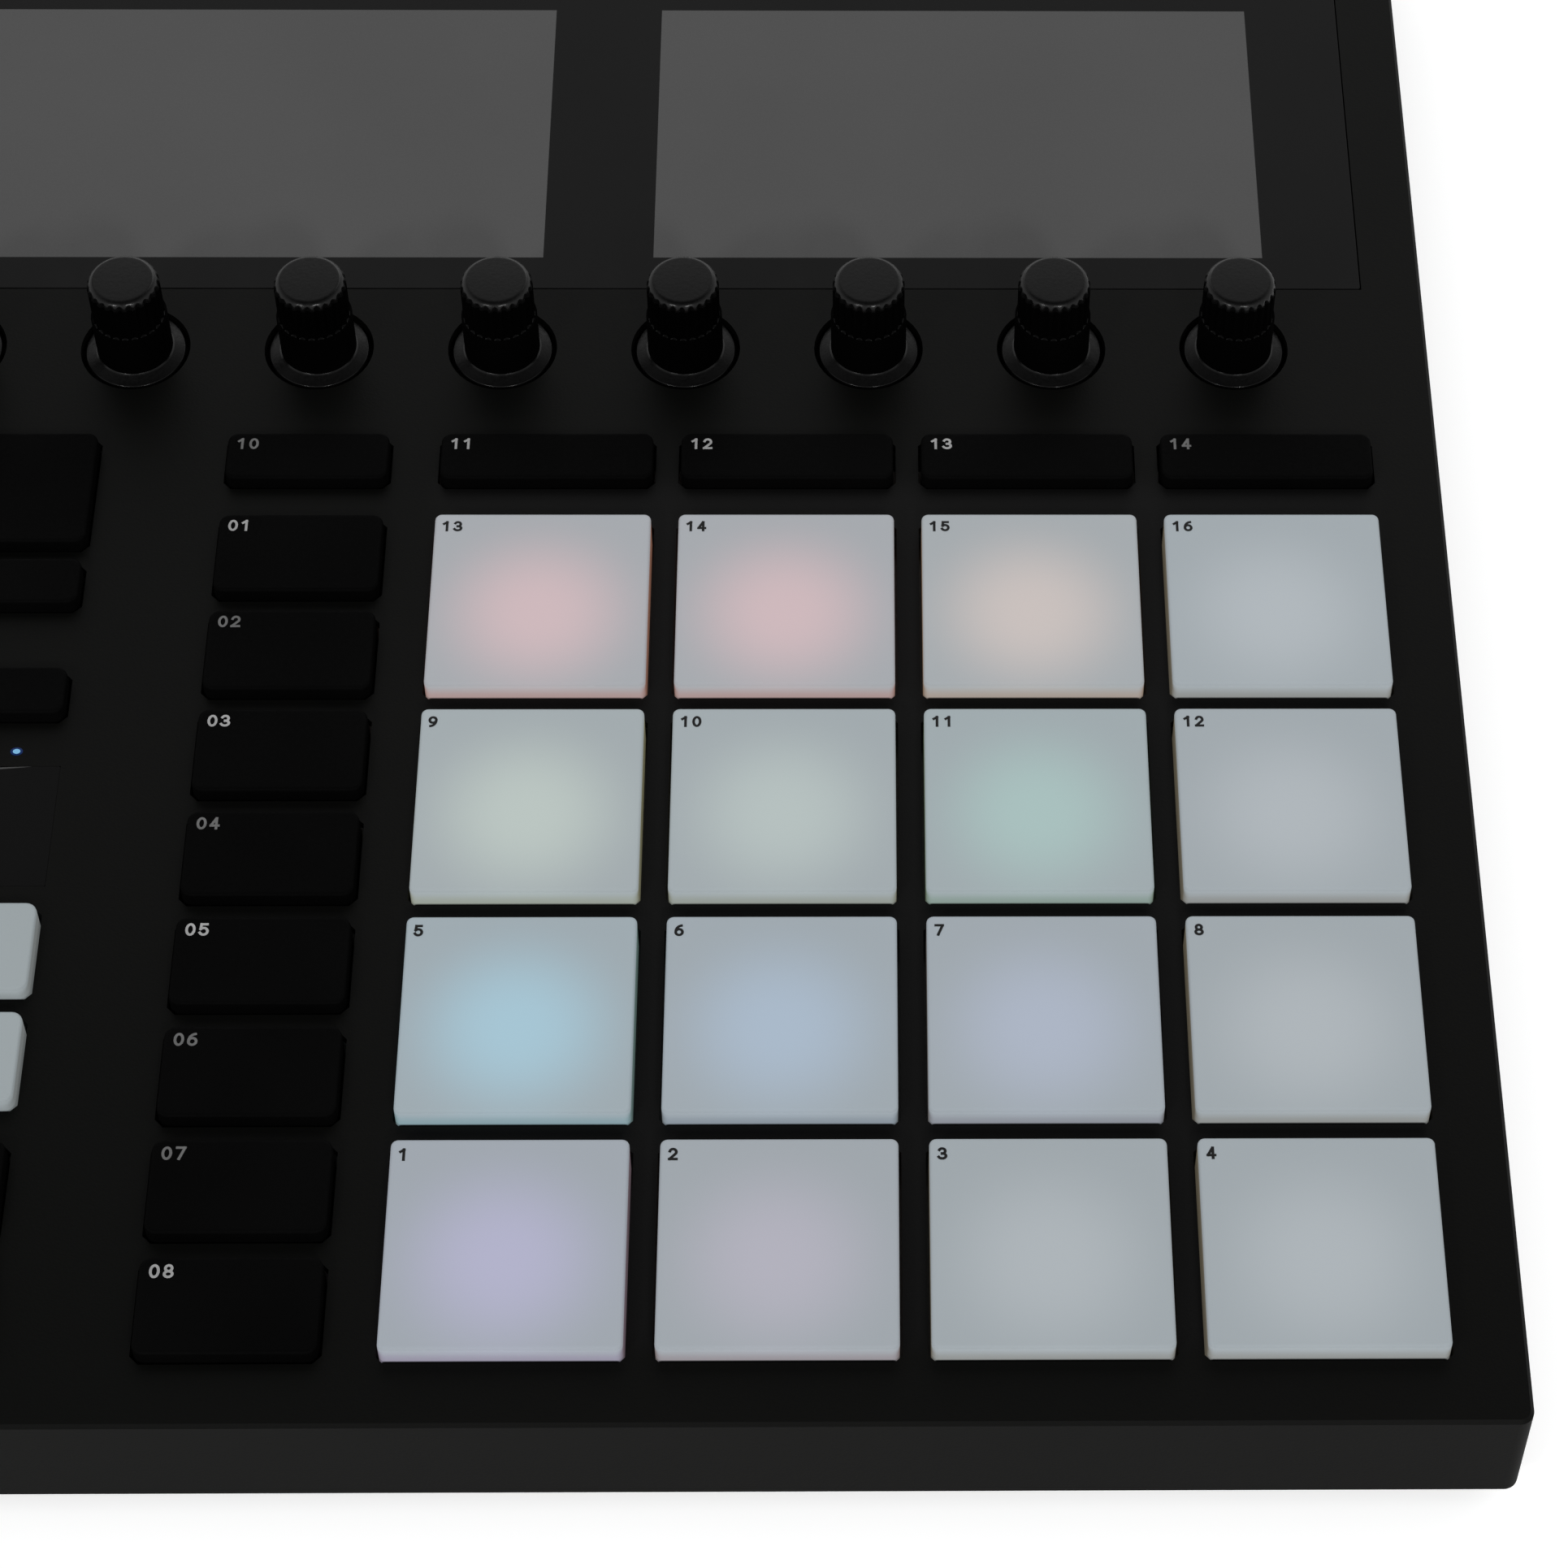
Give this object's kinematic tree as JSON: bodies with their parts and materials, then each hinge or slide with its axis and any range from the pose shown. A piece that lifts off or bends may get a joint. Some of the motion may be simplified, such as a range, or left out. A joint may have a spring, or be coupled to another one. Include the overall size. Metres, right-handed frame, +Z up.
{
  "type": "midi pad controller",
  "caption": "Desktop music pad controller with lit pads, turning knobs, pressable keys, two displays and rear sockets.",
  "frame": {"origin": "on the desk, under the middle of the case", "axes": "+X to the player's right, +Y to the back, +Z up"},
  "size_m": [0.32, 0.301, 0.0401],
  "materials": {
    "powder_coat": "fine black powder coat",
    "tray_plastic": "matte black",
    "foot_rubber": "matte",
    "screw_steel": "blackened",
    "board_green": "satin",
    "silicone": "matte",
    "window_glass": "gloss",
    "bezel_plastic": "matte",
    "panel_grey": "satin",
    "strip_black": "gloss",
    "part_black": "satin",
    "pad_white": "soft satin, lit from inside",
    "key_black": "soft matte",
    "key_white": "soft satin, lit from inside",
    "knob_black": "satin",
    "shaft_plastic": "satin"
  },
  "bodies": {
    "case": {"top_cover": "powder_coat", "base_tray": "tray_plastic", "rubber_feet": "foot_rubber", "case_screws": "screw_steel", "circuit_boards": "board_green", "pad_board": "board_green", "key_mat": "silicone", "display_window": "window_glass", "display_bezel": "bezel_plastic", "display_panels": "panel_grey", "touch_strip": "strip_black", "knob_encoders": "part_black", "rear_sockets": "part_black"},
    "pad_1": {"pad_1": "pad_white"},
    "pad_2": {"pad_2": "pad_white"},
    "pad_3": {"pad_3": "pad_white"},
    "pad_4": {"pad_4": "pad_white"},
    "pad_5": {"pad_5": "pad_white"},
    "pad_6": {"pad_6": "pad_white"},
    "pad_7": {"pad_7": "pad_white"},
    "pad_8": {"pad_8": "pad_white"},
    "pad_9": {"pad_9": "pad_white"},
    "pad_10": {"pad_10": "pad_white"},
    "pad_11": {"pad_11": "pad_white"},
    "pad_12": {"pad_12": "pad_white"},
    "pad_13": {"pad_13": "pad_white"},
    "pad_14": {"pad_14": "pad_white"},
    "pad_15": {"pad_15": "pad_white"},
    "pad_16": {"pad_16": "pad_white"},
    "mode_key_1": {"mode_key_1": "key_black"},
    "mode_key_2": {"mode_key_2": "key_black"},
    "mode_key_3": {"mode_key_3": "key_black"},
    "mode_key_4": {"mode_key_4": "key_black"},
    "column_key_1": {"column_key_1": "key_black"},
    "column_key_2": {"column_key_2": "key_black"},
    "column_key_3": {"column_key_3": "key_black"},
    "column_key_4": {"column_key_4": "key_black"},
    "column_key_5": {"column_key_5": "key_black"},
    "column_key_6": {"column_key_6": "key_black"},
    "column_key_7": {"column_key_7": "key_black"},
    "column_key_8": {"column_key_8": "key_black"},
    "fixed_key": {"fixed_key": "key_black"},
    "repeat_key": {"repeat_key": "key_black"},
    "soft_keys": {"soft_keys": "key_black"},
    "side_keys": {"side_keys": "key_black"},
    "group_keys": {"group_keys": "key_white"},
    "transport_keys": {"transport_keys": "key_black"},
    "level_keys": {"level_keys": "key_black"},
    "perform_keys": {"perform_keys": "key_black"},
    "power_button": {"power_button": "part_black"},
    "knob_1": {"knob_1": "knob_black"},
    "knob_2": {"knob_2": "knob_black"},
    "knob_3": {"knob_3": "knob_black"},
    "knob_4": {"knob_4": "knob_black"},
    "knob_5": {"knob_5": "knob_black"},
    "knob_6": {"knob_6": "knob_black"},
    "knob_7": {"knob_7": "knob_black"},
    "knob_8": {"knob_8": "knob_black"},
    "dial_stem": {"dial_stem": "shaft_plastic"},
    "dial": {"dial": "knob_black"}
  },
  "joints": [
    {"name": "pad_1_press", "type": "slide", "parent": "case", "child": "pad_1", "axis": [0, 0, -1], "range_m": [0, 0.0006], "stiffness_N_per_m": 3000, "springref_m": -0.0005},
    {"name": "pad_2_press", "type": "slide", "parent": "case", "child": "pad_2", "axis": [0, 0, -1], "range_m": [0, 0.0006], "stiffness_N_per_m": 3000, "springref_m": -0.0005},
    {"name": "pad_3_press", "type": "slide", "parent": "case", "child": "pad_3", "axis": [0, 0, -1], "range_m": [0, 0.0006], "stiffness_N_per_m": 3000, "springref_m": -0.0005},
    {"name": "pad_4_press", "type": "slide", "parent": "case", "child": "pad_4", "axis": [0, 0, -1], "range_m": [0, 0.0006], "stiffness_N_per_m": 3000, "springref_m": -0.0005},
    {"name": "pad_5_press", "type": "slide", "parent": "case", "child": "pad_5", "axis": [0, 0, -1], "range_m": [0, 0.0006], "stiffness_N_per_m": 3000, "springref_m": -0.0005},
    {"name": "pad_6_press", "type": "slide", "parent": "case", "child": "pad_6", "axis": [0, 0, -1], "range_m": [0, 0.0006], "stiffness_N_per_m": 3000, "springref_m": -0.0005},
    {"name": "pad_7_press", "type": "slide", "parent": "case", "child": "pad_7", "axis": [0, 0, -1], "range_m": [0, 0.0006], "stiffness_N_per_m": 3000, "springref_m": -0.0005},
    {"name": "pad_8_press", "type": "slide", "parent": "case", "child": "pad_8", "axis": [0, 0, -1], "range_m": [0, 0.0006], "stiffness_N_per_m": 3000, "springref_m": -0.0005},
    {"name": "pad_9_press", "type": "slide", "parent": "case", "child": "pad_9", "axis": [0, 0, -1], "range_m": [0, 0.0006], "stiffness_N_per_m": 3000, "springref_m": -0.0005},
    {"name": "pad_10_press", "type": "slide", "parent": "case", "child": "pad_10", "axis": [0, 0, -1], "range_m": [0, 0.0006], "stiffness_N_per_m": 3000, "springref_m": -0.0005},
    {"name": "pad_11_press", "type": "slide", "parent": "case", "child": "pad_11", "axis": [0, 0, -1], "range_m": [0, 0.0006], "stiffness_N_per_m": 3000, "springref_m": -0.0005},
    {"name": "pad_12_press", "type": "slide", "parent": "case", "child": "pad_12", "axis": [0, 0, -1], "range_m": [0, 0.0006], "stiffness_N_per_m": 3000, "springref_m": -0.0005},
    {"name": "pad_13_press", "type": "slide", "parent": "case", "child": "pad_13", "axis": [0, 0, -1], "range_m": [0, 0.0006], "stiffness_N_per_m": 3000, "springref_m": -0.0005},
    {"name": "pad_14_press", "type": "slide", "parent": "case", "child": "pad_14", "axis": [0, 0, -1], "range_m": [0, 0.0006], "stiffness_N_per_m": 3000, "springref_m": -0.0005},
    {"name": "pad_15_press", "type": "slide", "parent": "case", "child": "pad_15", "axis": [0, 0, -1], "range_m": [0, 0.0006], "stiffness_N_per_m": 3000, "springref_m": -0.0005},
    {"name": "pad_16_press", "type": "slide", "parent": "case", "child": "pad_16", "axis": [0, 0, -1], "range_m": [0, 0.0006], "stiffness_N_per_m": 3000, "springref_m": -0.0005},
    {"name": "mode_key_1_press", "type": "slide", "parent": "case", "child": "mode_key_1", "axis": [0, 0, -1], "range_m": [0, 0.001], "stiffness_N_per_m": 600, "springref_m": -0.0005},
    {"name": "mode_key_2_press", "type": "slide", "parent": "case", "child": "mode_key_2", "axis": [0, 0, -1], "range_m": [0, 0.001], "stiffness_N_per_m": 600, "springref_m": -0.0005},
    {"name": "mode_key_3_press", "type": "slide", "parent": "case", "child": "mode_key_3", "axis": [0, 0, -1], "range_m": [0, 0.001], "stiffness_N_per_m": 600, "springref_m": -0.0005},
    {"name": "mode_key_4_press", "type": "slide", "parent": "case", "child": "mode_key_4", "axis": [0, 0, -1], "range_m": [0, 0.001], "stiffness_N_per_m": 600, "springref_m": -0.0005},
    {"name": "column_key_1_press", "type": "slide", "parent": "case", "child": "column_key_1", "axis": [0, 0, -1], "range_m": [0, 0.001], "stiffness_N_per_m": 600, "springref_m": -0.0005},
    {"name": "column_key_2_press", "type": "slide", "parent": "case", "child": "column_key_2", "axis": [0, 0, -1], "range_m": [0, 0.001], "stiffness_N_per_m": 600, "springref_m": -0.0005},
    {"name": "column_key_3_press", "type": "slide", "parent": "case", "child": "column_key_3", "axis": [0, 0, -1], "range_m": [0, 0.001], "stiffness_N_per_m": 600, "springref_m": -0.0005},
    {"name": "column_key_4_press", "type": "slide", "parent": "case", "child": "column_key_4", "axis": [0, 0, -1], "range_m": [0, 0.001], "stiffness_N_per_m": 600, "springref_m": -0.0005},
    {"name": "column_key_5_press", "type": "slide", "parent": "case", "child": "column_key_5", "axis": [0, 0, -1], "range_m": [0, 0.001], "stiffness_N_per_m": 600, "springref_m": -0.0005},
    {"name": "column_key_6_press", "type": "slide", "parent": "case", "child": "column_key_6", "axis": [0, 0, -1], "range_m": [0, 0.001], "stiffness_N_per_m": 600, "springref_m": -0.0005},
    {"name": "column_key_7_press", "type": "slide", "parent": "case", "child": "column_key_7", "axis": [0, 0, -1], "range_m": [0, 0.001], "stiffness_N_per_m": 600, "springref_m": -0.0005},
    {"name": "column_key_8_press", "type": "slide", "parent": "case", "child": "column_key_8", "axis": [0, 0, -1], "range_m": [0, 0.001], "stiffness_N_per_m": 600, "springref_m": -0.0005},
    {"name": "fixed_key_press", "type": "slide", "parent": "case", "child": "fixed_key", "axis": [0, 0, -1], "range_m": [0, 0.001], "stiffness_N_per_m": 600, "springref_m": -0.0005},
    {"name": "repeat_key_press", "type": "slide", "parent": "case", "child": "repeat_key", "axis": [0, 0, -1], "range_m": [0, 0.001], "stiffness_N_per_m": 600, "springref_m": -0.0005},
    {"name": "soft_keys_press", "type": "slide", "parent": "case", "child": "soft_keys", "axis": [0, 0, -1], "range_m": [0, 0.001], "stiffness_N_per_m": 4800, "springref_m": -0.0005},
    {"name": "side_keys_press", "type": "slide", "parent": "case", "child": "side_keys", "axis": [0, 0, -1], "range_m": [0, 0.001], "stiffness_N_per_m": 7200, "springref_m": -0.0005},
    {"name": "group_keys_press", "type": "slide", "parent": "case", "child": "group_keys", "axis": [0, 0, -1], "range_m": [0, 0.001], "stiffness_N_per_m": 4800, "springref_m": -0.0005},
    {"name": "transport_keys_press", "type": "slide", "parent": "case", "child": "transport_keys", "axis": [0, 0, -1], "range_m": [0, 0.001], "stiffness_N_per_m": 4800, "springref_m": -0.0005},
    {"name": "level_keys_press", "type": "slide", "parent": "case", "child": "level_keys", "axis": [0, 0, -1], "range_m": [0, 0.001], "stiffness_N_per_m": 1800, "springref_m": -0.0005},
    {"name": "perform_keys_press", "type": "slide", "parent": "case", "child": "perform_keys", "axis": [0, 0, -1], "range_m": [0, 0.001], "stiffness_N_per_m": 3000, "springref_m": -0.0005},
    {"name": "power_button_press", "type": "slide", "parent": "case", "child": "power_button", "axis": [0, -1, 0], "range_m": [0, 0.0015], "stiffness_N_per_m": 800, "springref_m": -0.0005},
    {"name": "knob_1_turn", "type": "hinge", "parent": "case", "child": "knob_1", "pos_m": [-0.06617, 0.034, 0.0245], "axis": [0, 0, 1], "continuous": true},
    {"name": "knob_2_turn", "type": "hinge", "parent": "case", "child": "knob_2", "pos_m": [-0.03812, 0.034, 0.0245], "axis": [0, 0, 1], "continuous": true},
    {"name": "knob_3_turn", "type": "hinge", "parent": "case", "child": "knob_3", "pos_m": [-0.01008, 0.034, 0.0245], "axis": [0, 0, 1], "continuous": true},
    {"name": "knob_4_turn", "type": "hinge", "parent": "case", "child": "knob_4", "pos_m": [0.01798, 0.034, 0.0245], "axis": [0, 0, 1], "continuous": true},
    {"name": "knob_5_turn", "type": "hinge", "parent": "case", "child": "knob_5", "pos_m": [0.04603, 0.034, 0.0245], "axis": [0, 0, 1], "continuous": true},
    {"name": "knob_6_turn", "type": "hinge", "parent": "case", "child": "knob_6", "pos_m": [0.07408, 0.034, 0.0245], "axis": [0, 0, 1], "continuous": true},
    {"name": "knob_7_turn", "type": "hinge", "parent": "case", "child": "knob_7", "pos_m": [0.10212, 0.034, 0.0245], "axis": [0, 0, 1], "continuous": true},
    {"name": "knob_8_turn", "type": "hinge", "parent": "case", "child": "knob_8", "pos_m": [0.13018, 0.034, 0.0245], "axis": [0, 0, 1], "continuous": true},
    {"name": "dial_stem_press", "type": "slide", "parent": "case", "child": "dial_stem", "axis": [0, 0, -1], "range_m": [0, 0.0008], "stiffness_N_per_m": 1500, "springref_m": -0.0005},
    {"name": "dial_turn", "type": "hinge", "parent": "dial_stem", "child": "dial", "pos_m": [-0.1237, -0.00095, 0.03], "axis": [0, 0, 1], "continuous": true}
  ]
}
